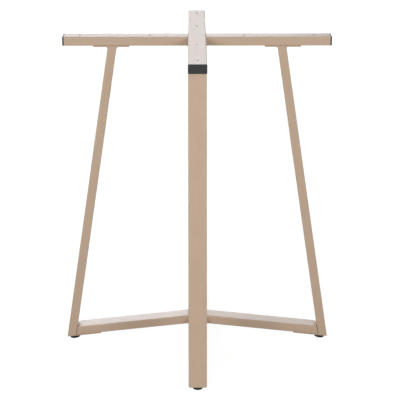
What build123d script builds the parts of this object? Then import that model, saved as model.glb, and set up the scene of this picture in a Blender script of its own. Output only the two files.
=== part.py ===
"""Table base of flat steel tube: a top cross on four splayed legs, tied near the floor by a rising cross.

Millimetres. +Z is up and the floor is z = 0, under the centre of the cross. +X is right and -Y is the front.
The top cross and the floor cross are welded. Each leg carries a plate at either end, bolted to a cross.
"""
from build123d import *
from math import cos, radians, sin, tan
import os

os.makedirs("parts", exist_ok=True)

# Overall sizes
overall_span = 598.0
overall_height = 725.0
leg_setback = 107.0
leg_lean_angle = 8.8
stretcher_slope_angle = 6.2

# Flat rectangular tube, laid flat in the arms and stretchers
tube_width = 40.0
tube_thickness = 20.0
tube_wall = 1.5
tube_bore_corner_radius = 1.0
leg_to_stretcher_clearance = 0.7

# Holes through the arms for the table top's screws
inner_hole_from_leg = 84.0
outer_hole_from_arm_end = 36.0
top_screw_hole_diameter = 5.5

# Plastic end caps
cap_flange_thickness = 3.5
cap_edge_radius = 0.8
cap_plug_depth = 14.0
cap_plug_wall = 1.6
cap_plug_clearance = 0.5
cap_rib_count = 3
cap_rib_thickness = 1.2
cap_rib_clearance = 0.05

# Plates at the two ends of each leg
top_plate_length = 80.0
top_plate_thickness = 3.0
top_plate_shift = 2.0
top_bolt_from_plate_end = 11.0
foot_plate_thickness = 2.0
foot_bolt_from_foot = 9.7
foot_bolt_spacing = 24.0
foot_bolt_from_plate_end = 12.0
plate_edge_inset = 1.0
plate_corner_radius = 1.5

# Flanged button head bolts and the rivet nuts that they turn into
bolt_diameter = 6.0
bolt_length = 12.0
bolt_head_overhang = 2.25
bolt_head_height = 3.3
bolt_dome_radius = 2.1
bolt_flange_bearing = 1.5
bolt_flange_thickness = 0.9
bolt_socket_size = 4.0
bolt_socket_depth = 2.0
thread_clearance = 0.05
nut_body_wall = 1.45
nut_length = 14.0
nut_head_overhang = 0.6
nut_head_thickness = 0.6
nut_bulge_overhang = 1.3
nut_bulge_length = 3.5
nut_hole_clearance = 0.05
plate_hole_clearance = 0.2

# Rubber feet, each held by a screw and a washer in its recess
foot_diameter = 23.0
foot_height = 9.0
foot_edge_radius = 0.8
foot_from_plate_end = 4.5
foot_recess_clearance = 0.3
washer_overhang = 1.0
washer_thickness = 1.5
foot_screw_diameter = 4.0
foot_screw_head_overhang = 2.0
foot_screw_head_height = 2.2
foot_screw_head_setback = 1.3
foot_screw_head_edge_radius = 0.7
foot_screw_cross_length = 4.4
foot_screw_cross_width = 1.1
foot_screw_cross_depth = 1.3
foot_screw_hole_clearance = 0.2

# What fits inside what
tube_corner_radius = tube_bore_corner_radius + tube_wall
plate_width = tube_width - 2 * plate_edge_inset
nut_bore_radius = bolt_diameter / 2 + thread_clearance
nut_body_radius = nut_bore_radius + nut_body_wall
nut_head_radius = nut_body_radius + nut_head_overhang
nut_bulge_radius = nut_body_radius + nut_bulge_overhang
nut_hole_radius = nut_body_radius + nut_hole_clearance
plate_hole_radius = nut_head_radius + plate_hole_clearance
bolt_head_radius = bolt_diameter / 2 + bolt_head_overhang
bolt_flange_radius = plate_hole_radius + bolt_flange_bearing
foot_screw_hole_radius = foot_screw_diameter / 2 + foot_screw_hole_clearance
foot_screw_head_radius = foot_screw_diameter / 2 + foot_screw_head_overhang
washer_radius = foot_screw_head_radius + washer_overhang
foot_recess_radius = washer_radius + foot_recess_clearance
foot_recess_floor = foot_height - foot_screw_head_setback - foot_screw_head_height - washer_thickness

# Levels and places worked out from the sizes above, in the upright plane of one leg
arm_end = overall_span / 2 - cap_flange_thickness
arm_underside = overall_height - tube_thickness
leg_top = arm_underside - top_plate_thickness
leg_top_offset = arm_end - leg_setback
slope = radians(stretcher_slope_angle)
lean = radians(leg_lean_angle)
foot_inset = foot_from_plate_end + foot_diameter / 2
foot_first_bolt = foot_inset + foot_diameter / 2 + foot_bolt_from_foot + bolt_flange_radius
foot_bolt_places = [foot_first_bolt, foot_first_bolt + foot_bolt_spacing]
foot_plate_length = foot_bolt_places[-1] + foot_bolt_from_plate_end
top_plate_centre = leg_top_offset + top_plate_shift
top_bolt_reach = top_plate_length / 2 - top_bolt_from_plate_end
top_bolt_places = [top_plate_centre - top_bolt_reach, top_plate_centre + top_bolt_reach]
screw_hole_places = [leg_top_offset - inner_hole_from_leg, arm_end - outer_hole_from_arm_end]

# The foot tilts with its plate, so its rounded rim touches the floor on the outer side
foot_face_height = (foot_diameter / 2 - foot_edge_radius) * sin(slope) + foot_edge_radius * (1 - cos(slope))
plate_end_height = foot_face_height + foot_height * cos(slope) - foot_inset * sin(slope)
plate_end_top = plate_end_height + foot_plate_thickness * cos(slope)
leg_outer_face_at_top = leg_top_offset + tube_thickness / 2 / cos(lean)
leg_foot_drop = leg_top - plate_end_top
plate_end_offset = leg_outer_face_at_top + leg_foot_drop * tan(lean)

# Each side's turn about the centre, starting from the leg on +X
sides = {"right": 0, "back": 90, "left": 180, "front": 270}
far = overall_span + overall_height
drill_reach = 2 * tube_thickness


def save(name, shape):
    """Writes one node."""
    export_step(shape, f"parts/{name}.step")


def turned(shape, side):
    """The shape, modelled on the right side, turned to another side."""
    return Rot(0, 0, sides[side]) * shape


def tube_section(width, thickness, wall, radius):
    outer = RectangleRounded(width, thickness, radius)
    inner = RectangleRounded(width - 2 * wall, thickness - 2 * wall, radius - wall)
    return outer - inner


def tube(start, direction, length):
    """A length of the tube whose wide way lies along Y."""
    run = Plane(origin=start, x_dir=(0, 1, 0), z_dir=direction)
    section = tube_section(tube_width, tube_thickness, tube_wall, tube_corner_radius)
    return extrude(run * section, amount=length)


def kept_above(shape, plane):
    """What lies on the side that the plane's normal points to."""
    return split(shape, bisect_by=plane, keep=Keep.TOP)


# The foot plate's own frame: x runs down the slope outward, z is square to the plate
plate_end = Vector(plate_end_offset, 0, plate_end_height)
down_slope = Vector(cos(slope), 0, -sin(slope))
plate_up = Vector(sin(slope), 0, cos(slope))
plate_underside = Plane(origin=plate_end, x_dir=down_slope, z_dir=plate_up)
plate_topside = plate_underside.offset(foot_plate_thickness)
foot_seat = Plane(origin=plate_end - down_slope * foot_inset, x_dir=down_slope, z_dir=-plate_up)


# Top cross
def top_bolt_planes():
    """Where the top plate's bolts bear, with the normal pointing up into the arm."""
    return [Plane(origin=(place, 0, leg_top)) for place in top_bolt_places]


def screw_hole(offset):
    """A drill right through both walls of an arm on the right side."""
    middle = arm_underside + tube_thickness / 2
    return Pos(offset, 0, middle) * Cylinder(top_screw_hole_diameter / 2, drill_reach)


def nut_hole(bearing):
    """The round hole for a rivet nut in the wall above a plate; it stops short of the tube's far wall."""
    return bearing * Cylinder(nut_hole_radius, tube_thickness)


def arm_drills():
    """Every hole of one side of the top cross, placed on the right side."""
    drills = [screw_hole(offset) for offset in screw_hole_places]
    return drills + [nut_hole(bearing) for bearing in top_bolt_planes()]


def make_half_arm():
    """The right arm, from the side of the long arm out to its end."""
    inner_end = Vector(tube_width / 2, 0, arm_underside + tube_thickness / 2)
    arm = tube(inner_end, Vector(1, 0, 0), arm_end - tube_width / 2)
    for drill in arm_drills():
        arm -= drill
    return arm


def make_long_arm():
    """The one tube that runs from the back end to the front end."""
    back_end = Vector(-arm_end, 0, arm_underside + tube_thickness / 2)
    arm = tube(back_end, Vector(1, 0, 0), 2 * arm_end)
    for drill in arm_drills():
        arm -= drill
        arm -= Rot(0, 0, 180) * drill
    return turned(arm, "back")


def make_end_cap():
    """A flange flush with the tube and a hollow ribbed plug pushed inside it, for the right arm."""
    seat = Plane(origin=(arm_end, 0, arm_underside + tube_thickness / 2), x_dir=(0, 1, 0), z_dir=(1, 0, 0))
    bore_width = tube_width - 2 * tube_wall
    bore_thickness = tube_thickness - 2 * tube_wall
    outline = RectangleRounded(tube_width, tube_thickness, tube_corner_radius)
    flange = extrude(outline, amount=cap_flange_thickness)
    flange = fillet(flange.edges().group_by(Axis.Z)[-1], cap_edge_radius)
    plug_width = bore_width - 2 * cap_plug_clearance
    plug_thickness = bore_thickness - 2 * cap_plug_clearance
    plug = RectangleRounded(plug_width, plug_thickness, tube_bore_corner_radius - cap_plug_clearance)
    plug -= Rectangle(plug_width - 2 * cap_plug_wall, plug_thickness - 2 * cap_plug_wall)
    cap = flange + extrude(plug, amount=-cap_plug_depth)
    rib_width = bore_width - 2 * cap_rib_clearance
    rib_thickness = bore_thickness - 2 * cap_rib_clearance
    rib = RectangleRounded(rib_width, rib_thickness, tube_bore_corner_radius - cap_rib_clearance)
    rib -= Rectangle(plug_width - 2 * cap_plug_wall, plug_thickness - 2 * cap_plug_wall)
    rib_pitch = cap_plug_depth / cap_rib_count
    for index in range(cap_rib_count):
        depth = rib_pitch * (index + 1) - cap_rib_thickness
        cap += Pos(0, 0, -depth) * extrude(rib, amount=-cap_rib_thickness)
    return seat * cap


# Legs and their plates
def make_leg():
    """The right leg, cut level under the top plate and to the slope of the foot plate."""
    down = Vector(sin(lean), 0, -cos(lean))
    start = Vector(leg_top_offset, 0, leg_top) - down * tube_width
    leg = tube(start, down, far)
    leg = kept_above(leg, Plane(origin=(0, 0, leg_top), z_dir=(0, 0, -1)))
    return kept_above(leg, plate_topside)


def plate_blank(length, thickness):
    return extrude(RectangleRounded(length, plate_width, plate_corner_radius), amount=thickness)


def make_top_plate():
    """The plate that is welded on the leg and bolted under the arm."""
    plate = Pos(top_plate_centre, 0, leg_top) * plate_blank(top_plate_length, top_plate_thickness)
    for bearing in top_bolt_planes():
        plate -= bearing * Cylinder(plate_hole_radius, drill_reach)
    return plate


def foot_bolt_planes():
    """Where the foot plate's bolts bear, with the normal pointing up into the stretcher."""
    origins = [plate_end - down_slope * place for place in foot_bolt_places]
    return [Plane(origin=origin, x_dir=down_slope, z_dir=plate_up) for origin in origins]


def make_foot_plate():
    """The sloping plate under the leg and the end of the stretcher."""
    blank = plate_blank(foot_plate_length, foot_plate_thickness)
    plate = plate_underside * Pos(-foot_plate_length / 2, 0, 0) * blank
    for bearing in foot_bolt_planes():
        plate -= bearing * Cylinder(plate_hole_radius, drill_reach)
    tapped_radius = foot_screw_diameter / 2 + thread_clearance
    return plate - foot_seat * Cylinder(tapped_radius, drill_reach)


# Floor cross
def make_stretcher(inner_face):
    """The right stretcher, from an upright plane at inner_face out to the leg."""
    middle = plate_topside.origin + plate_up * (tube_thickness / 2)
    stretcher = tube(middle + down_slope * far, -down_slope, 2 * far)
    for bearing in foot_bolt_planes():
        stretcher -= nut_hole(bearing)
    stretcher = kept_above(stretcher, Plane(origin=(inner_face, 0, 0), z_dir=(1, 0, 0)))
    inward = Vector(-cos(lean), 0, -sin(lean))
    leg_axis_point = Vector(leg_top_offset, 0, leg_top)
    leg_inner_face = leg_axis_point + inward * (tube_thickness / 2 + leg_to_stretcher_clearance)
    return kept_above(stretcher, Plane(origin=leg_inner_face, z_dir=inward))


# Feet and fasteners, made about their own axis
standing = (Align.CENTER, Align.CENTER, Align.MIN)
hanging = (Align.CENTER, Align.CENTER, Align.MAX)


def make_bolt():
    """A bolt whose head bears at z = 0, with its domed head below."""
    dome = Cylinder(bolt_head_radius, bolt_head_height, align=hanging)
    dome = fillet(dome.edges().group_by(Axis.Z)[0], bolt_dome_radius)
    flange = Cylinder(bolt_flange_radius, bolt_flange_thickness, align=hanging)
    shank = Cylinder(bolt_diameter / 2, bolt_length, align=standing)
    socket = extrude(RegularPolygon(bolt_socket_size / 2, 6, major_radius=False), amount=bolt_socket_depth)
    return dome + flange + shank - Pos(0, 0, -bolt_head_height) * socket


def make_rivet_nut(plate_thickness):
    """A rivet nut set in the tube wall above a plate that bears at z = 0."""
    wall_outside = plate_thickness
    wall_inside = plate_thickness + tube_wall
    head_outside = wall_outside - nut_head_thickness
    nut_end = wall_outside + nut_length
    profile = [(nut_bore_radius, head_outside), (nut_head_radius, head_outside),
               (nut_head_radius, wall_outside), (nut_body_radius, wall_outside),
               (nut_body_radius, wall_inside), (nut_bulge_radius, wall_inside),
               (nut_body_radius, wall_inside + nut_bulge_length), (nut_body_radius, nut_end),
               (nut_bore_radius, nut_end)]
    outline = Polyline(*[(radius, 0, height) for radius, height in profile], close=True)
    return revolve(make_face(outline), axis=Axis.Z)


def make_foot():
    """A rubber foot seated on the plate at z = 0 and reaching up its own +Z to its ground face."""
    body = Cylinder(foot_diameter / 2, foot_height, align=standing)
    body = fillet(body.edges().group_by(Axis.Z)[-1], foot_edge_radius)
    recess = Cylinder(foot_recess_radius, foot_height, align=standing)
    body -= Pos(0, 0, foot_recess_floor) * recess
    return body - Cylinder(foot_screw_hole_radius, drill_reach)


def make_washer():
    ring = Circle(washer_radius) - Circle(foot_screw_hole_radius)
    return Pos(0, 0, foot_recess_floor) * extrude(ring, amount=washer_thickness)


def make_foot_screw():
    """A pan head screw that ends flush with the top of the foot plate."""
    bearing = foot_recess_floor + washer_thickness
    shank_length = bearing + foot_plate_thickness
    head = Cylinder(foot_screw_head_radius, foot_screw_head_height, align=standing)
    head = fillet(head.edges().group_by(Axis.Z)[-1], foot_screw_head_edge_radius)
    shank = Cylinder(foot_screw_diameter / 2, shank_length, align=hanging)
    cross = Rectangle(foot_screw_cross_length, foot_screw_cross_width)
    cross += Rectangle(foot_screw_cross_width, foot_screw_cross_length)
    recess = Pos(0, 0, foot_screw_head_height) * extrude(cross, amount=-foot_screw_cross_depth)
    return Pos(0, 0, bearing) * (head + shank - recess)


def on_every_side(fastener, seats):
    """A fastener on each seat of each side, as the separate solids of one node."""
    placed = [turned(seat * fastener, side) for side in sides for seat in seats]
    return Compound(children=[shape.solid() for shape in placed])


# Long arm, its side arms and the caps in their four ends
save("long_arm", make_long_arm())
for side in ("right", "left"):
    save(f"{side}_arm", turned(make_half_arm(), side))
for side in sides:
    save(f"{side}_end_cap", turned(make_end_cap(), side))

# Legs with their plates and feet
for side in sides:
    save(f"{side}_leg", turned(make_leg(), side))
    save(f"{side}_top_plate", turned(make_top_plate(), side))
    save(f"{side}_foot_plate", turned(make_foot_plate(), side))
    save(f"{side}_foot_pad", turned(foot_seat * make_foot(), side))

# Stretchers: front and back meet at the centre, left and right butt against their sides
for side, inner_face in (("front", 0), ("back", 0), ("right", tube_width / 2), ("left", tube_width / 2)):
    save(f"{side}_stretcher", turned(make_stretcher(inner_face), side))

# Fasteners, one node for each kind
save("top_plate_bolts", on_every_side(make_bolt(), top_bolt_planes()))
save("foot_plate_bolts", on_every_side(make_bolt(), foot_bolt_planes()))
save("arm_rivet_nuts", on_every_side(make_rivet_nut(top_plate_thickness), top_bolt_planes()))
save("stretcher_rivet_nuts", on_every_side(make_rivet_nut(foot_plate_thickness), foot_bolt_planes()))
save("foot_pad_screws", on_every_side(make_foot_screw(), [foot_seat]))
save("foot_pad_washers", on_every_side(make_washer(), [foot_seat]))
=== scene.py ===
"""Looks of a steel table base: powder coat, plastic end caps, rubber feet, plated fasteners and weld beads.

Laid out as a Blender add-on and run as a script. Metres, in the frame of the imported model.
"""
from math import cos, pi, radians, sin

import bmesh
import bpy
from mathutils import Matrix, Vector


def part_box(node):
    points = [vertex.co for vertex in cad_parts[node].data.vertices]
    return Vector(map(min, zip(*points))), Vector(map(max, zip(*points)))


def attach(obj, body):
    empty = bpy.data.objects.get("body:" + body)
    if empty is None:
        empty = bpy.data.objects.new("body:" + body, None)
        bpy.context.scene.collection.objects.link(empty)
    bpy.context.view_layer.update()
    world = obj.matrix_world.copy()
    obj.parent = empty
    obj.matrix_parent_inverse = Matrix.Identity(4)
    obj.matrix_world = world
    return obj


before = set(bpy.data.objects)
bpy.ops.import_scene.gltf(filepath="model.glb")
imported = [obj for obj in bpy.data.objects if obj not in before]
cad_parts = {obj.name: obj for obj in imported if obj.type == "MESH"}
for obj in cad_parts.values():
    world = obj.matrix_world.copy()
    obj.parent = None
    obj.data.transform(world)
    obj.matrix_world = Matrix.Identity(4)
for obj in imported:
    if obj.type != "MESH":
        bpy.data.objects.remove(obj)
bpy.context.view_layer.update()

bl_info = {
    "name": "Steel Table Base",
    "version": (1, 0, 0),
    "blender": (4, 5, 0),
    "location": "View3D > Sidebar > Table Base",
    "description": "Finishes, weld beads and studio of a steel table base",
    "category": "Object",
}

MM = 0.001

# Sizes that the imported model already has
LEAN = radians(8.8)
SLOPE = radians(6.2)
TUBE_WIDTH = 40 * MM
TUBE_THICKNESS = 20 * MM
TUBE_CORNER = 2.5 * MM
FOOT_PLATE_THICKNESS = 2 * MM

HOLE_ROWS = (105 * MM, 260 * MM)
HOLE_RADIUS = 2.75 * MM

# Colours that a user would leave alone
# In and around the arms' screw holes: partly bare drilled steel, partly painted shade on the bores and their
# rim.
BORE_STEEL_AND_SHADE_COLOUR = (0.14, 0.09, 0.06, 1.0)
# Painted highlight on the end caps' sharp edges.
CAP_EDGE_HIGHLIGHT_COLOUR = (0.10, 0.10, 0.105, 1.0)
DUST_COLOUR = (0.10, 0.095, 0.09, 1.0)
ZINC_CLOUD_COLOUR = (0.50, 0.49, 0.46, 1.0)
# Painted highlight on the fasteners' sharp edges.
ZINC_EDGE_HIGHLIGHT_COLOUR = (0.74, 0.74, 0.75, 1.0)

# The edge colours and the paler coat edges below are painted highlights on sharp edges.
# Shares of the edge and dust colours where their masks are full, and how much paler the coat is on edges
COAT_EDGE_HIGHLIGHT_SHARE = 0.45
COAT_EDGE_HIGHLIGHT_GAIN = 1.12
CAP_EDGE_HIGHLIGHT_SHARE = 0.05
ZINC_EDGE_HIGHLIGHT_SHARE = 0.5
ZINC_CLOUD_SHARE = 0.6
DUST_SHARE = 0.10

# Roughness of the finishes that have no setting of their own
BORE_EXTRA_ROUGHNESS = 0.4
CAP_ROUGHNESS = 0.44
RUBBER_ROUGHNESS = 0.72
ZINC_ROUGHNESS = 0.34

# Most noise values lie between these two
NOISE_LOW = 0.3
NOISE_HIGH = 0.7

# Grain: how fine and how high the orange peel is beside the specks, and where dust starts to lie in the mottling
PEEL_SCALE = 0.35
PEEL_HEIGHT = 1.5
DUST_STARTS = 0.1

# Drawing lines: how slowly they change along the tube, as a share of how fast they change across it
LINE_STRETCH = 0.012

# The edge mask below marks where a highlight is painted on sharp edges.
# Edges: cosines of the turn of the surface at which the mask starts and is full, the size of the patches that
# break it up, the noise values between which they fade, and what is left of the mask between them
EDGE_STARTS = 0.995
EDGE_FULL = 0.82
PATCH_SCALE = 160.0
PATCH_LOW = 0.35
PATCH_HIGH = 0.65
PATCH_LEAST = 0.35

# Width of the rim beyond each screw hole's edge where shade is painted.
RIM_SHADE_WIDTH = 0.25 * MM

# Shape of every bead: shares of its radius, and steps along it
BEAD_SEAT = 0.45
BEAD_RING_SEGMENTS = 10
STEPS_PER_RIPPLE = 4
END_SHARE = 0.35
END_TAPER_LENGTH = 1.6
END_TAPER_STEPS = 8

# Slow waves in a bead's radius: share of the radius, radians per metre and start
DRIFT_WAVES = ((0.04, 310, 0), (0.03, 733, 1))

# Seams: where those of a foot plate start and end, from its outer end, how far down the top cross is ground
# clean, and how deep and how flat the seams in the middle of the floor cross lie
FOOT_SEAM_START = 3 * MM
FOOT_SEAM_END = 19 * MM
GROUND_DEPTH = 4 * MM
CENTRE_SEAM_DEPTH = 0.5 * MM
CENTRE_SEAM_FLATNESS = 0.5

# Softboxes: name, place, width and height in metres, colour, and the setting that holds their power
LAMP_TARGET = (0, 0, 0.5)
WHITE = (1.0, 1.0, 1.0)
SOFTBOXES = [
    ("Left softbox", (-1.5, -3.1, 1.6), (1.1, 1.0), WHITE, "left_power"),
    ("Right softbox", (1.5, -3.1, 1.6), (1.1, 1.0), WHITE, "right_power"),
    ("Back softbox", (-1.38, 6.0, 2.9), (4.5, 2.0), (0.895, 0.915, 0.98), "back_power"),
    ("Low strip", (-0.1, 1.5, 0.4), (2.4, 0.6), (0.80, 0.90, 1.0), "strip_power"),
    ("Low softbox on the left", (-4.0, 0.4, 0.6), (3.0, 1.6), WHITE, "side_power"),
    ("Low softbox on the right", (4.0, 0.4, 0.6), (3.0, 1.6), WHITE, "side_power"),
]

# Floor, in metres; the camera sees it a little below white near the base, so that a shadow still shows
FLOOR_RADIUS = 14.0
FLOOR_SEGMENTS = 96
FLOOR_DROP = 0.2 * MM
SEEN_FLOOR_GREY = (0.20, 0.20, 0.20, 1.0)
SEEN_FLOOR_GLOW = 0.90
GLOW_RISES_FROM = 0.8
GLOW_FULL_AT = 4.0

SENSOR_WIDTH = 36
CAMERA_REACH = 100

# Each side's turn about the centre, starting from the leg on +X
TURNS = {"right": 0.0, "back": 90.0, "left": 180.0, "front": 270.0}


def turn(side):
    return Matrix.Rotation(radians(TURNS[side]), 4, "Z")


# Nodes by finish, with the way that each tube was drawn
DRAWN_ALONG = {"long_arm": Vector((0, 1, 0)), "right_arm": Vector((1, 0, 0)), "left_arm": Vector((1, 0, 0))}
for side_name in TURNS:
    DRAWN_ALONG[side_name + "_leg"] = turn(side_name) @ Vector((sin(LEAN), 0, -cos(LEAN)))
    DRAWN_ALONG[side_name + "_stretcher"] = turn(side_name) @ Vector((cos(SLOPE), 0, -sin(SLOPE)))
PLATES = [side + kind for side in TURNS for kind in ("_top_plate", "_foot_plate")]
CAPS = [side + "_end_cap" for side in TURNS]
FEET = [side + "_foot_pad" for side in TURNS]
FASTENERS = ["top_plate_bolts", "foot_plate_bolts", "arm_rivet_nuts", "stretcher_rivet_nuts",
             "foot_pad_screws", "foot_pad_washers"]


# Settings
class CoatSettings(bpy.types.PropertyGroup):
    """Colours and surface of every finish."""
    coat_colour: bpy.props.FloatVectorProperty(
        name="Coat colour", description="Powder coat of all the steel", subtype="COLOR", size=3,
        min=0, max=1, default=(0.505, 0.368, 0.262))
    coat_roughness: bpy.props.FloatProperty(
        name="Coat roughness", description="Satin of the powder coat", min=0, max=1, default=0.37,
        subtype="FACTOR")
    cap_colour: bpy.props.FloatVectorProperty(
        name="Cap colour", description="Moulded plastic of the end caps", subtype="COLOR", size=3,
        min=0, max=1, default=(0.009, 0.009, 0.010))
    rubber_colour: bpy.props.FloatVectorProperty(
        name="Rubber colour", description="Rubber of the feet", subtype="COLOR", size=3,
        min=0, max=1, default=(0.008, 0.008, 0.008))
    steel_colour: bpy.props.FloatVectorProperty(
        name="Steel colour", description="Zinc plating of the bolts, nuts, screws and washers",
        subtype="COLOR", size=3, min=0, max=1, default=(0.60, 0.60, 0.61))


class WeldSettings(bpy.types.PropertyGroup):
    """Sizes of the weld beads."""
    leg_bead: bpy.props.FloatProperty(
        name="Leg bead", description="Radius of the beads across the top of each leg's wide faces",
        unit="LENGTH", min=0.0005, max=0.005, default=1.4 * MM)
    joint_bead: bpy.props.FloatProperty(
        name="Joint bead", description="Radius of the beads in the top cross and the floor cross",
        unit="LENGTH", min=0.0005, max=0.005, default=1.3 * MM)
    foot_bead: bpy.props.FloatProperty(
        name="Foot bead", description="Radius of the beads along the foot plates",
        unit="LENGTH", min=0.0003, max=0.002, default=0.7 * MM)
    ripple_pitch: bpy.props.FloatProperty(
        name="Ripple pitch", description="Distance from one ripple of a bead to the next",
        unit="LENGTH", min=0.001, max=0.005, default=1.9 * MM)
    ripple_depth: bpy.props.FloatProperty(
        name="Ripple depth", description="Share of the bead's radius lost between ripples",
        min=0, max=0.5, default=0.14, subtype="FACTOR")


class StudioSettings(bpy.types.PropertyGroup):
    """Camera, lamps and floor."""
    camera_place: bpy.props.FloatVectorProperty(
        name="Camera place", description="Where the camera stands", subtype="TRANSLATION", size=3,
        default=(-11.55 * MM, -3297.07 * MM, 1394.99 * MM))
    camera_pitch: bpy.props.FloatProperty(
        name="Camera pitch", description="How far the camera looks down", subtype="ANGLE",
        default=radians(17.749))
    camera_yaw: bpy.props.FloatProperty(
        name="Camera yaw", description="How far the camera turns to the right", subtype="ANGLE",
        default=radians(0.314))
    lens: bpy.props.FloatProperty(
        name="Lens", description="Focal length in millimetres on a 36 mm sensor", min=20, max=400,
        default=135.24)
    left_power: bpy.props.FloatProperty(
        name="Left lamp", description="Power of the softbox at the front left", unit="POWER",
        min=0, default=50)
    right_power: bpy.props.FloatProperty(
        name="Right lamp", description="Power of the softbox at the front right", unit="POWER",
        min=0, default=43.5)
    back_power: bpy.props.FloatProperty(
        name="Back lamp", description="Power of the wide softbox high behind the table base", unit="POWER",
        min=0, default=88.5)
    strip_power: bpy.props.FloatProperty(
        name="Strip lamp", description="Power of the low strip behind the floor cross", unit="POWER",
        min=0, default=11.3)
    side_power: bpy.props.FloatProperty(
        name="Side lamps", description="Power of each of the two low softboxes at the sides", unit="POWER",
        min=0, default=34)
    room_strength: bpy.props.FloatProperty(
        name="Room light", description="Strength of the white room on the surfaces", min=0, max=2,
        default=0.225)
    floor_colour: bpy.props.FloatVectorProperty(
        name="Floor colour", description="Plain studio floor", subtype="COLOR", size=3,
        min=0, max=1, default=(0.4, 0.4, 0.4))


# Shader helpers
def put(tree, kind, settings=None, **inputs):
    """A new node with its settings and inputs; an input that is a socket gets linked."""
    made = tree.nodes.new(kind)
    for key, value in (settings or {}).items():
        setattr(made, key, value)
    for key, value in inputs.items():
        fill(tree, made.inputs[key.replace("_", " ")], value)
    return made


def fill(tree, socket, value):
    if isinstance(value, bpy.types.NodeSocket):
        tree.links.new(value, socket)
    else:
        socket.default_value = value


def calculate(tree, operation, *values, clamp=False):
    made = put(tree, "ShaderNodeMath", {"operation": operation, "use_clamp": clamp})
    for index, value in enumerate(values):
        fill(tree, made.inputs[index], value)
    return made.outputs[0]


def blend_colours(tree, factor, first, second):
    made = put(tree, "ShaderNodeMix", {"data_type": "RGBA"})
    for index, value in ((0, factor), (6, first), (7, second)):
        fill(tree, made.inputs[index], value)
    return made.outputs[2]


def stretch(tree, value, low, high, new_low, new_high):
    made = put(tree, "ShaderNodeMapRange", Value=value, From_Min=low, From_Max=high,
               To_Min=new_low, To_Max=new_high)
    return made.outputs["Result"]


def spread(tree, noise):
    """Noise brought to about -1 to 1."""
    return stretch(tree, noise, NOISE_LOW, NOISE_HIGH, -1.0, 1.0)


def new_group(name, inputs, outputs):
    """An empty node group: inputs are (name, kind, default) and outputs (name, kind)."""
    group = bpy.data.node_groups.new(name, "ShaderNodeTree")
    for label, kind, default in inputs:
        socket = group.interface.new_socket(label, in_out="INPUT", socket_type=kind)
        if default is not None:
            socket.default_value = default
    for label, kind in outputs:
        group.interface.new_socket(label, in_out="OUTPUT", socket_type=kind)
    return group, group.nodes.new("NodeGroupInput").outputs, group.nodes.new("NodeGroupOutput").inputs


def make_grain_group():
    """Fine sprayed or moulded grain: specks, slow mottling and a height for the bump."""
    group, given, result = new_group(
        "Surface grain",
        [("Vector", "NodeSocketVector", None), ("Speck size", "NodeSocketFloat", 0.001),
         ("Mottle size", "NodeSocketFloat", 0.03)],
        [("Specks", "NodeSocketFloat"), ("Mottle", "NodeSocketFloat"), ("Height", "NodeSocketFloat")])
    speck_scale = calculate(group, "DIVIDE", 1.0, given["Speck size"])
    mottle_scale = calculate(group, "DIVIDE", 1.0, given["Mottle size"])
    specks = put(group, "ShaderNodeTexNoise", Vector=given["Vector"], Scale=speck_scale, Detail=2.0,
                 Roughness=0.6).outputs["Fac"]
    mottle = put(group, "ShaderNodeTexNoise", Vector=given["Vector"], Scale=mottle_scale, Detail=3.0,
                 Roughness=0.5).outputs["Fac"]
    peel_scale = calculate(group, "MULTIPLY", speck_scale, PEEL_SCALE)
    peel = put(group, "ShaderNodeTexNoise", Vector=given["Vector"], Scale=peel_scale,
               Detail=1.0).outputs["Fac"]
    height = calculate(group, "MULTIPLY_ADD", peel, PEEL_HEIGHT, specks)
    fill(group, result["Specks"], spread(group, specks))
    fill(group, result["Mottle"], spread(group, mottle))
    fill(group, result["Height"], height)
    return group


def make_streak_group():
    """Faint lines along the tube, with the tube's length on the incoming Z."""
    group, given, result = new_group(
        "Drawing lines",
        [("Vector", "NodeSocketVector", None), ("Line width", "NodeSocketFloat", 0.002)],
        [("Lines", "NodeSocketFloat")])
    across = calculate(group, "DIVIDE", 1.0, given["Line width"])
    along = calculate(group, "MULTIPLY", across, LINE_STRETCH)
    scale = put(group, "ShaderNodeCombineXYZ", X=across, Y=across, Z=along)
    stretched = put(group, "ShaderNodeVectorMath", {"operation": "MULTIPLY"})
    fill(group, stretched.inputs[0], given["Vector"])
    fill(group, stretched.inputs[1], scale.outputs[0])
    lines = put(group, "ShaderNodeTexNoise", Vector=stretched.outputs[0], Scale=1.0, Detail=2.0,
                Roughness=0.55).outputs["Fac"]
    fill(group, result["Lines"], spread(group, lines))
    return group


def make_edge_group():
    """A mask of the sharp edges, broken up by noise, where a highlight is painted."""
    group, given, result = new_group(
        "Thin edges",
        [("Vector", "NodeSocketVector", None), ("Width", "NodeSocketFloat", 0.001)],
        [("Mask", "NodeSocketFloat")])
    rounded = put(group, "ShaderNodeBevel", {"samples": 6}, Radius=given["Width"])
    flat = put(group, "ShaderNodeNewGeometry")
    facing = put(group, "ShaderNodeVectorMath", {"operation": "DOT_PRODUCT"})
    fill(group, facing.inputs[0], rounded.outputs[0])
    fill(group, facing.inputs[1], flat.outputs["Normal"])
    sharp = stretch(group, facing.outputs["Value"], EDGE_STARTS, EDGE_FULL, 0.0, 1.0)
    patches = put(group, "ShaderNodeTexNoise", Vector=given["Vector"], Scale=PATCH_SCALE,
                  Detail=3.0).outputs["Fac"]
    broken = stretch(group, patches, PATCH_LOW, PATCH_HIGH, PATCH_LEAST, 1.0)
    fill(group, result["Mask"], calculate(group, "MULTIPLY", sharp, broken, clamp=True))
    return group


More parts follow.
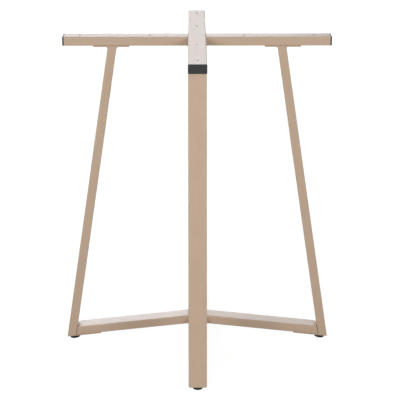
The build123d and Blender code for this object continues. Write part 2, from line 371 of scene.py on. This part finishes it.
def make_hole_group():
    """A mask of the screw holes in the arms and a thin rim around each, where shade is painted: the same rows of
    holes lie along X and along Y.
    """
    group, given, result = new_group("Screw holes", [("Vector", "NodeSocketVector", None)],
                                     [("Mask", "NodeSocketFloat")])
    absolute = put(group, "ShaderNodeVectorMath", {"operation": "ABSOLUTE"})
    fill(group, absolute.inputs[0], given["Vector"])
    split = put(group, "ShaderNodeSeparateXYZ", Vector=absolute.outputs[0]).outputs
    along = calculate(group, "MAXIMUM", split["X"], split["Y"])
    across = calculate(group, "MINIMUM", split["X"], split["Y"])
    inner, outer = (calculate(group, "ABSOLUTE", calculate(group, "SUBTRACT", along, row))
                    for row in HOLE_ROWS)
    nearest = calculate(group, "MINIMUM", inner, outer)
    flat = put(group, "ShaderNodeCombineXYZ", X=nearest, Y=across)
    away = put(group, "ShaderNodeVectorMath", {"operation": "LENGTH"})
    fill(group, away.inputs[0], flat.outputs[0])
    inside = stretch(group, away.outputs["Value"], HOLE_RADIUS, HOLE_RADIUS + RIM_SHADE_WIDTH, 1.0, 0.0)
    fill(group, result["Mask"], inside)
    return group


SHARED_GROUPS = {}


def shared(name):
    """The node group of that name, built the first time it is asked for."""
    makers = {"grain": make_grain_group, "streaks": make_streak_group, "edges": make_edge_group,
              "holes": make_hole_group}
    if name not in SHARED_GROUPS:
        SHARED_GROUPS[name] = makers[name]()
    return SHARED_GROUPS[name]


def use_group(tree, name, **inputs):
    made = tree.nodes.new("ShaderNodeGroup")
    made.node_tree = shared(name)
    for key, value in inputs.items():
        fill(tree, made.inputs[key.replace("_", " ")], value)
    return made.outputs


def new_material(name, colour, **constants):
    """A material with one Principled shader, its constants on its own sockets."""
    material = bpy.data.materials.new(name)
    material.diffuse_color = (*colour, 1.0)
    material.use_nodes = True
    tree = material.node_tree
    tree.nodes.clear()
    shader = put(tree, "ShaderNodeBsdfPrincipled", **constants)
    put(tree, "ShaderNodeOutputMaterial", Surface=shader.outputs[0])
    place = put(tree, "ShaderNodeTexCoord").outputs["Object"]
    return material, tree, shader, place


def shifted(tree, value, mask, amount):
    """The value raised and lowered by a mask from -1 to 1."""
    return calculate(tree, "MULTIPLY_ADD", mask, amount, value)


def varied(tree, colour, mask, amount):
    """The colour made lighter and darker by a mask from -1 to 1."""
    scale = shifted(tree, 1.0, mask, amount)
    made = put(tree, "ShaderNodeVectorMath", {"operation": "SCALE"}, Scale=scale)
    fill(tree, made.inputs[0], colour)
    return made.outputs[0]


def add_bump(tree, shader, height, distance, strength):
    bump = put(tree, "ShaderNodeBump", Strength=strength, Distance=distance, Height=height)
    fill(tree, shader.inputs["Normal"], bump.outputs[0])


def powder_coat(name, along=None):
    """Satin powder coat; along is the way that the tube under it was drawn."""
    look = bpy.context.scene.base_coat
    colour = tuple(look.coat_colour)
    material, tree, shader, place = new_material(name, colour, IOR=1.52)
    grain = use_group(tree, "grain", Vector=place, Speck_size=1.1 * MM, Mottle_size=45 * MM)
    edges = use_group(tree, "edges", Vector=place, Width=0.9 * MM)
    tint = varied(tree, colour, grain["Specks"], amount=0.035)
    tint = varied(tree, tint, grain["Mottle"], amount=0.022)
    rough = shifted(tree, look.coat_roughness, grain["Specks"], amount=0.025)
    if along is not None:
        to_z = along.rotation_difference(Vector((0, 0, 1))).to_euler("XYZ")
        turned = put(tree, "ShaderNodeMapping", {"vector_type": "POINT"}, Vector=place, Rotation=to_z)
        streaks = use_group(tree, "streaks", Vector=turned.outputs[0], Line_width=2.4 * MM)
        tint = varied(tree, tint, streaks["Lines"], amount=0.013)
        rough = shifted(tree, rough, streaks["Lines"], amount=0.02)
    # Paler sharp edges: a painted highlight.
    edge_highlight_colour = tuple(min(1.0, channel * COAT_EDGE_HIGHLIGHT_GAIN) for channel in colour)
    edge_highlight = calculate(tree, "MULTIPLY", edges["Mask"], COAT_EDGE_HIGHLIGHT_SHARE)
    tint = blend_colours(tree, edge_highlight, tint, (*edge_highlight_colour, 1.0))
    # Screw holes: bare steel in the bores, with painted shade in them and on a thin rim around each hole.
    if name.endswith("_arm"):
        bore_steel_and_shade = use_group(tree, "holes", Vector=place)
        tint = blend_colours(tree, bore_steel_and_shade["Mask"], tint, BORE_STEEL_AND_SHADE_COLOUR)
        rough = shifted(tree, rough, bore_steel_and_shade["Mask"], BORE_EXTRA_ROUGHNESS)
    fill(tree, shader.inputs["Base Color"], tint)
    fill(tree, shader.inputs["Roughness"], rough)
    add_bump(tree, shader, grain["Height"], distance=0.06 * MM, strength=0.12)
    return material


def cap_plastic():
    """Black moulded plastic with a fine spark-eroded grain."""
    colour = tuple(bpy.context.scene.base_coat.cap_colour)
    material, tree, shader, place = new_material("Cap plastic", colour, IOR=1.43)
    grain = use_group(tree, "grain", Vector=place, Speck_size=0.55 * MM, Mottle_size=12 * MM)
    edges = use_group(tree, "edges", Vector=place, Width=0.5 * MM)
    tint = varied(tree, colour, grain["Specks"], amount=0.16)
    tint = varied(tree, tint, grain["Mottle"], amount=0.08)
    # Paler sharp edges: a painted highlight.
    edge_highlight = calculate(tree, "MULTIPLY", edges["Mask"], CAP_EDGE_HIGHLIGHT_SHARE)
    tint = blend_colours(tree, edge_highlight, tint, CAP_EDGE_HIGHLIGHT_COLOUR)
    fill(tree, shader.inputs["Base Color"], tint)
    fill(tree, shader.inputs["Roughness"], shifted(tree, CAP_ROUGHNESS, grain["Specks"], amount=0.06))
    add_bump(tree, shader, grain["Height"], distance=0.05 * MM, strength=0.5)
    return material


def foot_rubber():
    """Black rubber, dull, with a trace of dust in its grain."""
    colour = tuple(bpy.context.scene.base_coat.rubber_colour)
    material, tree, shader, place = new_material("Foot rubber", colour, IOR=1.5, Specular_IOR_Level=0.25)
    grain = use_group(tree, "grain", Vector=place, Speck_size=0.8 * MM, Mottle_size=7 * MM)
    tint = varied(tree, colour, grain["Specks"], amount=0.2)
    dust = stretch(tree, grain["Mottle"], DUST_STARTS, 1.0, 0.0, DUST_SHARE)
    tint = blend_colours(tree, dust, tint, DUST_COLOUR)
    fill(tree, shader.inputs["Base Color"], tint)
    fill(tree, shader.inputs["Roughness"], shifted(tree, RUBBER_ROUGHNESS, grain["Mottle"], amount=0.08))
    add_bump(tree, shader, grain["Height"], distance=0.08 * MM, strength=0.5)
    return material


def plated_steel():
    """Zinc-plated steel with cloudy plating and fine scratches."""
    colour = tuple(bpy.context.scene.base_coat.steel_colour)
    material, tree, shader, place = new_material("Plated steel", colour, Metallic=1.0)
    grain = use_group(tree, "grain", Vector=place, Speck_size=0.5 * MM, Mottle_size=5 * MM)
    scratches = use_group(tree, "streaks", Vector=place, Line_width=0.25 * MM)
    edges = use_group(tree, "edges", Vector=place, Width=0.3 * MM)
    cloud = stretch(tree, grain["Mottle"], -1.0, 1.0, 0.0, ZINC_CLOUD_SHARE)
    tint = blend_colours(tree, cloud, (*colour, 1.0), ZINC_CLOUD_COLOUR)
    tint = varied(tree, tint, scratches["Lines"], amount=0.05)
    # Brighter sharp edges: a painted highlight.
    bright = calculate(tree, "MULTIPLY", edges["Mask"], ZINC_EDGE_HIGHLIGHT_SHARE)
    tint = blend_colours(tree, bright, tint, ZINC_EDGE_HIGHLIGHT_COLOUR)
    fill(tree, shader.inputs["Base Color"], tint)
    rough = shifted(tree, ZINC_ROUGHNESS, grain["Mottle"], amount=0.07)
    fill(tree, shader.inputs["Roughness"], shifted(tree, rough, scratches["Lines"], amount=0.04))
    add_bump(tree, shader, scratches["Lines"], distance=0.01 * MM, strength=0.3)
    return material


def dress(nodes, material):
    """Gives CAD nodes their finish."""
    for node in nodes:
        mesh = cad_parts[node].data
        mesh.materials.clear()
        mesh.materials.append(material)


# Weld beads
def outline(half_first, half_second, corner, step):
    """A rounded rectangle as (place, outward) pairs in a plane, from the middle of its +second side."""
    runs = []
    first, second = half_first - corner, half_second - corner
    arc = corner * pi / 2
    for index in range(4):
        half, other = (first, second) if index % 2 == 0 else (second, first)
        quarter = Matrix.Rotation(-index * pi / 2, 3, "Z")
        reach = half_second if index % 2 == 0 else half_first
        runs.append(("run", quarter, half, reach))
        runs.append(("arc", quarter, half, other))
    length = 4 * (first + second) + 4 * arc
    count = round(length / step)
    places = []
    for number in range(count):
        left = number * length / count - first
        if left < 0:
            left += length
        for kind, quarter, half, reach in runs[1:] + runs[:1]:
            span = arc if kind == "arc" else 2 * half
            if left <= span:
                break
            left -= span
        if kind == "run":
            place, outward = Vector((left - half, reach, 0)), Vector((0, 1, 0))
        else:
            angle = pi / 2 - left / corner
            outward = Vector((cos(angle), sin(angle), 0))
            place = Vector((half, reach, 0)) + outward * corner
        places.append((quarter @ place, quarter @ outward))
    return places


def bead_station(place, outward, rise, radius, flatness=1.0):
    """The frame of one ring of a bead, which sits in the corner between a wall and the face beside it."""
    seat = place + (outward + rise) * radius * BEAD_SEAT
    along = outward.cross(rise)
    axes = Matrix((outward * radius, rise * radius * flatness, along * radius)).transposed().to_4x4()
    axes.translation = seat
    return axes


def rippled(radius, distance, settings):
    """The bead's radius at a distance along it."""
    wave = abs(sin(pi * distance / settings.ripple_pitch))
    drift = sum(share * sin(distance * pace + start) for share, pace, start in DRIFT_WAVES)
    return radius * (1 - settings.ripple_depth * (1 - wave) + drift)


def sweep_bead(mesh, stations, closed):
    """Extrudes a ring along the stations; an open bead is closed by a small face at either end."""
    ring = bmesh.ops.create_circle(mesh, cap_ends=False, segments=BEAD_RING_SEGMENTS, radius=1.0,
                                   matrix=stations[0])["verts"]
    first = list({edge for vert in ring for edge in vert.link_edges})
    edges = first
    for before, after in zip(stations, stations[1:]):
        made = bmesh.ops.extrude_edge_only(mesh, edges=edges)["geom"]
        verts = {item for item in made if isinstance(item, bmesh.types.BMVert)}
        edges = [item for item in made if isinstance(item, bmesh.types.BMEdge) and set(item.verts) <= verts]
        bmesh.ops.transform(mesh, matrix=after @ before.inverted(), verts=list(verts))
    if closed:
        bmesh.ops.bridge_loops(mesh, edges=first + edges)
    else:
        bmesh.ops.holes_fill(mesh, edges=first + edges, sides=0)


def straight_bead(mesh, start, end, outward, rise, radius, settings, flatness=1.0):
    """A bead along a straight seam, drawn in at both ends."""
    length = (end - start).length
    count = round(length * STEPS_PER_RIPPLE / settings.ripple_pitch)
    stations = []
    for number in range(count + 1):
        distance = number * length / count
        from_end = min(distance, length - distance)
        taper = min(1.0, END_SHARE + from_end / (radius * END_TAPER_LENGTH))
        size = rippled(radius, distance, settings) * taper
        stations.append(bead_station(start.lerp(end, distance / length), outward, rise, size, flatness))
    sweep_bead(mesh, stations, closed=False)


def outline_bead(mesh, plane, shape, rise, radius, settings, keep=None):
    """A bead around a rounded rectangle in a plane, or around the part of it that keep picks."""
    step = settings.ripple_pitch / STEPS_PER_RIPPLE
    places = [(plane @ place, (plane.to_3x3() @ outward).normalized())
              for place, outward in outline(*shape, step)]
    if keep is not None:
        places = [pair for pair in places if keep(pair[0])]
    stations = []
    last = len(places) - 1
    for number, (place, outward) in enumerate(places):
        size = rippled(radius, number * step, settings)
        if keep is not None:
            size *= min(1.0, END_SHARE + min(number, last - number) / END_TAPER_STEPS)
        stations.append(bead_station(place, outward, rise, size))
    sweep_bead(mesh, stations, closed=keep is None)


def finish_piece(name, mesh, material):
    """Makes the object of a weld; it rides with the base and takes the powder coat."""
    bmesh.ops.recalc_face_normals(mesh, faces=mesh.faces)
    data = bpy.data.meshes.new(name)
    mesh.to_mesh(data)
    mesh.free()
    data.polygons.foreach_set("use_smooth", [True] * len(data.polygons))
    data.materials.append(material)
    piece = bpy.data.objects.new(name, data)
    bpy.context.scene.collection.objects.link(piece)
    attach(piece, "root")


def weld_material():
    """The powder coat without drawing lines, which the plates and the welds share."""
    return bpy.data.materials.get("Powder coat") or powder_coat("Powder coat")


# Operators
class CoatTubes(bpy.types.Operator):
    """Powder-coats the arms, legs and stretchers, with faint lines along each tube"""
    bl_idname = "table_base.coat_tubes"
    bl_label = "Coat the Tubes"

    def execute(self, context):
        for node, along in DRAWN_ALONG.items():
            dress([node], powder_coat("Powder coat on " + node, along))
        return {"FINISHED"}


class CoatPlates(bpy.types.Operator):
    """Powder-coats the plates at the ends of the legs"""
    bl_idname = "table_base.coat_plates"
    bl_label = "Coat the Plates"

    def execute(self, context):
        dress(PLATES, weld_material())
        return {"FINISHED"}


class FinishCaps(bpy.types.Operator):
    """Gives the end caps their black moulded plastic"""
    bl_idname = "table_base.finish_caps"
    bl_label = "Finish the End Caps"

    def execute(self, context):
        dress(CAPS, cap_plastic())
        return {"FINISHED"}


class FinishFeet(bpy.types.Operator):
    """Gives the feet their black rubber"""
    bl_idname = "table_base.finish_feet"
    bl_label = "Finish the Feet"

    def execute(self, context):
        dress(FEET, foot_rubber())
        return {"FINISHED"}


class FinishFasteners(bpy.types.Operator):
    """Gives the bolts, nuts, screws and washers their zinc plating"""
    bl_idname = "table_base.finish_fasteners"
    bl_label = "Finish the Fasteners"

    def execute(self, context):
        dress(FASTENERS, plated_steel())
        return {"FINISHED"}


class WeldLegs(bpy.types.Operator):
    """Welds the wide faces of each leg to its top plate, and the edges of its foot plate to the tubes"""
    bl_idname = "table_base.weld_legs"
    bl_label = "Weld the Legs"

    def execute(self, context):
        settings = context.scene.base_welds
        plate_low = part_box("right_top_plate")[0]
        leg_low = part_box("right_leg")[0]
        foot_low, foot_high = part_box("right_foot_plate")
        half_cut = TUBE_THICKNESS / 2 / cos(LEAN)
        middle = leg_low.x + half_cut
        shape = (half_cut, TUBE_WIDTH / 2, TUBE_CORNER)
        down_slope = Vector((cos(SLOPE), 0, -sin(SLOPE)))
        plate_up = Vector((sin(SLOPE), 0, cos(SLOPE)))
        corner = Vector((foot_high.x, 0, foot_low.z + FOOT_PLATE_THICKNESS * cos(SLOPE)))
        half_plate = (foot_high.y - foot_low.y) / 2
        for side in TURNS:
            mesh = bmesh.new()
            for way in (-1, 1):
                outline_bead(mesh, Matrix.Translation((middle, 0, plate_low.z)), shape, Vector((0, 0, -1)),
                             settings.leg_bead, settings,
                             keep=lambda place: way * (place.x - middle) > half_cut - TUBE_CORNER / 2)
                edge = corner + Vector((0, way * half_plate, 0))
                start = edge - down_slope * FOOT_SEAM_START
                end = edge - down_slope * FOOT_SEAM_END
                straight_bead(mesh, start, end, Vector((0, way, 0)), -plate_up, settings.foot_bead, settings)
            bmesh.ops.transform(mesh, matrix=turn(side), verts=mesh.verts)
            finish_piece(side + "_leg_weld", mesh, weld_material())
        return {"FINISHED"}


class WeldTopCross(bpy.types.Operator):
    """Welds the side arms to the long arm, below the ground-flat top"""
    bl_idname = "table_base.weld_top_cross"
    bl_label = "Weld the Top Cross"

    def execute(self, context):
        settings = context.scene.base_welds
        low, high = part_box("right_arm")
        middle = (low.z + high.z) / 2
        upright = Matrix(((0, 0, 1, low.x), (1, 0, 0, 0), (0, 1, 0, middle), (0, 0, 0, 1)))
        for side in ("right", "left"):
            mesh = bmesh.new()
            outline_bead(mesh, upright, (TUBE_WIDTH / 2, TUBE_THICKNESS / 2, TUBE_CORNER), Vector((1, 0, 0)),
                         settings.joint_bead, settings, keep=lambda place: place.z < high.z - GROUND_DEPTH)
            bmesh.ops.transform(mesh, matrix=turn(side), verts=mesh.verts)
            finish_piece(side + "_arm_weld", mesh, weld_material())
        return {"FINISHED"}


class WeldFloorCross(bpy.types.Operator):
    """Welds the four stretchers together at their centre"""
    bl_idname = "table_base.weld_floor_cross"
    bl_label = "Weld the Floor Cross"

    def execute(self, context):
        settings = context.scene.base_welds
        low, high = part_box("right_stretcher")
        half_cut = TUBE_THICKNESS / 2 / cos(SLOPE)
        upright = Matrix(((0, 0, 1, low.x), (1, 0, 0, 0), (0, 1, 0, high.z - half_cut), (0, 0, 0, 1)))
        for side in ("right", "left"):
            mesh = bmesh.new()
            outline_bead(mesh, upright, (TUBE_WIDTH / 2, half_cut, TUBE_CORNER), Vector((1, 0, 0)),
                         settings.joint_bead, settings)
            bmesh.ops.transform(mesh, matrix=turn(side), verts=mesh.verts)
            finish_piece(side + "_stretcher_weld", mesh, weld_material())
        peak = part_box("front_stretcher")[1].z
        half_seam = TUBE_WIDTH / 2 - TUBE_CORNER
        mesh = bmesh.new()
        for height, rise in ((peak, 1), (peak - 2 * half_cut, -1)):
            start = Vector((-half_seam, 0, height - rise * CENTRE_SEAM_DEPTH))
            end = Vector((half_seam, 0, height - rise * CENTRE_SEAM_DEPTH))
            straight_bead(mesh, start, end, Vector((0, 1, 0)), Vector((0, 0, rise)), settings.joint_bead,
                          settings, CENTRE_SEAM_FLATNESS)
        finish_piece("centre_seam_weld", mesh, weld_material())
        return {"FINISHED"}


def add_softbox(name, place, size, colour, power):
    """A rectangular lamp aimed at the middle of the base, which the camera doesn't see."""
    data = bpy.data.lights.new(name, "AREA")
    data.color = colour
    data.shape = "RECTANGLE"
    data.size, data.size_y = size
    data.energy = power
    lamp = bpy.data.objects.new(name, data)
    bpy.context.scene.collection.objects.link(lamp)
    lamp.visible_camera = False
    lamp.location = place
    lamp.rotation_euler = (Vector(LAMP_TARGET) - Vector(place)).to_track_quat("-Z", "Y").to_euler()


def seen_or_mirrored(tree):
    """1 for rays from the camera, a gloss or a glass, and 0 for the light that falls on surfaces."""
    path = put(tree, "ShaderNodeLightPath").outputs
    glossy = calculate(tree, "MAXIMUM", path["Is Glossy Ray"], path["Is Transmission Ray"])
    return calculate(tree, "MAXIMUM", path["Is Camera Ray"], glossy)


def make_room(strength):
    """A white room: full white where it is seen or mirrored, and softer as a light."""
    world = bpy.data.worlds.new("White room")
    bpy.context.scene.world = world
    world.use_nodes = True
    tree = world.node_tree
    tree.nodes.clear()
    seen = seen_or_mirrored(tree)
    level = stretch(tree, seen, 0.0, 1.0, strength, 1.0)
    room = put(tree, "ShaderNodeBackground", Color=(1.0, 1.0, 1.0, 1.0), Strength=level)
    put(tree, "ShaderNodeOutputWorld", Surface=room.outputs[0])


def make_floor(colour):
    """A round pale floor that the camera sees as white, with the soft shadow of the base left on it."""
    mesh = bmesh.new()
    bmesh.ops.create_circle(mesh, cap_ends=True, segments=FLOOR_SEGMENTS, radius=FLOOR_RADIUS)
    data = bpy.data.meshes.new("Studio floor")
    mesh.to_mesh(data)
    mesh.free()
    floor = bpy.data.objects.new("Studio_floor", data)
    bpy.context.scene.collection.objects.link(floor)
    floor.location.z = -FLOOR_DROP
    material = bpy.data.materials.new("Studio floor")
    data.materials.append(material)
    material.use_nodes = True
    tree = material.node_tree
    tree.nodes.clear()
    path = put(tree, "ShaderNodeLightPath").outputs
    seen = seen_or_mirrored(tree)
    matt = put(tree, "ShaderNodeBsdfDiffuse", Color=(*colour, 1.0))
    shadowed = put(tree, "ShaderNodeBsdfDiffuse", Color=SEEN_FLOOR_GREY)
    place = put(tree, "ShaderNodeTexCoord").outputs["Object"]
    away = put(tree, "ShaderNodeVectorMath", {"operation": "LENGTH"})
    fill(tree, away.inputs[0], place)
    level = stretch(tree, away.outputs["Value"], GLOW_RISES_FROM, GLOW_FULL_AT, SEEN_FLOOR_GLOW, 1.0)
    glow = put(tree, "ShaderNodeEmission", Color=(1.0, 1.0, 1.0, 1.0), Strength=level)
    bright = put(tree, "ShaderNodeAddShader")
    fill(tree, bright.inputs[0], shadowed.outputs[0])
    fill(tree, bright.inputs[1], glow.outputs[0])
    lit = put(tree, "ShaderNodeMixShader", Fac=seen)
    fill(tree, lit.inputs[1], matt.outputs[0])
    fill(tree, lit.inputs[2], bright.outputs[0])
    below = calculate(tree, "MULTIPLY", put(tree, "ShaderNodeNewGeometry").outputs["Backfacing"],
                      path["Is Camera Ray"])
    clear = put(tree, "ShaderNodeBsdfTransparent")
    both = put(tree, "ShaderNodeMixShader", Fac=below)
    fill(tree, both.inputs[1], lit.outputs[0])
    fill(tree, both.inputs[2], clear.outputs[0])
    put(tree, "ShaderNodeOutputMaterial", Surface=both.outputs[0])


class SetStage(bpy.types.Operator):
    """Sets the white room, the floor, the softboxes and the camera"""
    bl_idname = "table_base.set_stage"
    bl_label = "Set the Stage"

    def execute(self, context):
        scene = context.scene
        studio = scene.base_studio
        scene.view_settings.view_transform = "Standard"
        make_room(studio.room_strength)
        make_floor(tuple(studio.floor_colour))
        for name, place, size, colour, setting in SOFTBOXES:
            add_softbox(name, place, size, colour, getattr(studio, setting))
        data = bpy.data.cameras.new("Camera")
        data.sensor_width = SENSOR_WIDTH
        data.lens = studio.lens
        data.clip_end = CAMERA_REACH
        camera = bpy.data.objects.new("Camera", data)
        scene.collection.objects.link(camera)
        camera.location = studio.camera_place
        camera.rotation_euler = (pi / 2 - studio.camera_pitch, 0, -studio.camera_yaw)
        scene.camera = camera
        return {"FINISHED"}


class TableBasePanel(bpy.types.Panel):
    """Lists the steps and the settings"""
    bl_idname = "TABLEBASE_PT_steps"
    bl_label = "Steel Table Base"
    bl_space_type = "VIEW_3D"
    bl_region_type = "UI"
    bl_category = "Table Base"

    def draw(self, context):
        for step in STEPS:
            self.layout.operator(step.bl_idname)
        for name, settings in SETTINGS.items():
            box = self.layout.box()
            for key in settings.__annotations__:
                box.prop(getattr(context.scene, name), key)


SETTINGS = {"base_coat": CoatSettings, "base_welds": WeldSettings, "base_studio": StudioSettings}
STEPS = [CoatTubes, CoatPlates, FinishCaps, FinishFeet, FinishFasteners, WeldLegs, WeldTopCross,
         WeldFloorCross, SetStage]


def register():
    for item in [*SETTINGS.values(), *STEPS, TableBasePanel]:
        bpy.utils.register_class(item)
    for name, settings in SETTINGS.items():
        setattr(bpy.types.Scene, name, bpy.props.PointerProperty(type=settings))


def unregister():
    for name in SETTINGS:
        delattr(bpy.types.Scene, name)
    for item in reversed([*SETTINGS.values(), *STEPS, TableBasePanel]):
        bpy.utils.unregister_class(item)


def main():
    register()
    bpy.ops.table_base.coat_tubes()
    bpy.ops.table_base.coat_plates()
    bpy.ops.table_base.finish_caps()
    bpy.ops.table_base.finish_feet()
    bpy.ops.table_base.finish_fasteners()
    bpy.ops.table_base.weld_legs()
    bpy.ops.table_base.weld_top_cross()
    bpy.ops.table_base.weld_floor_cross()
    bpy.ops.table_base.set_stage()


if __name__ == "__main__":
    main()
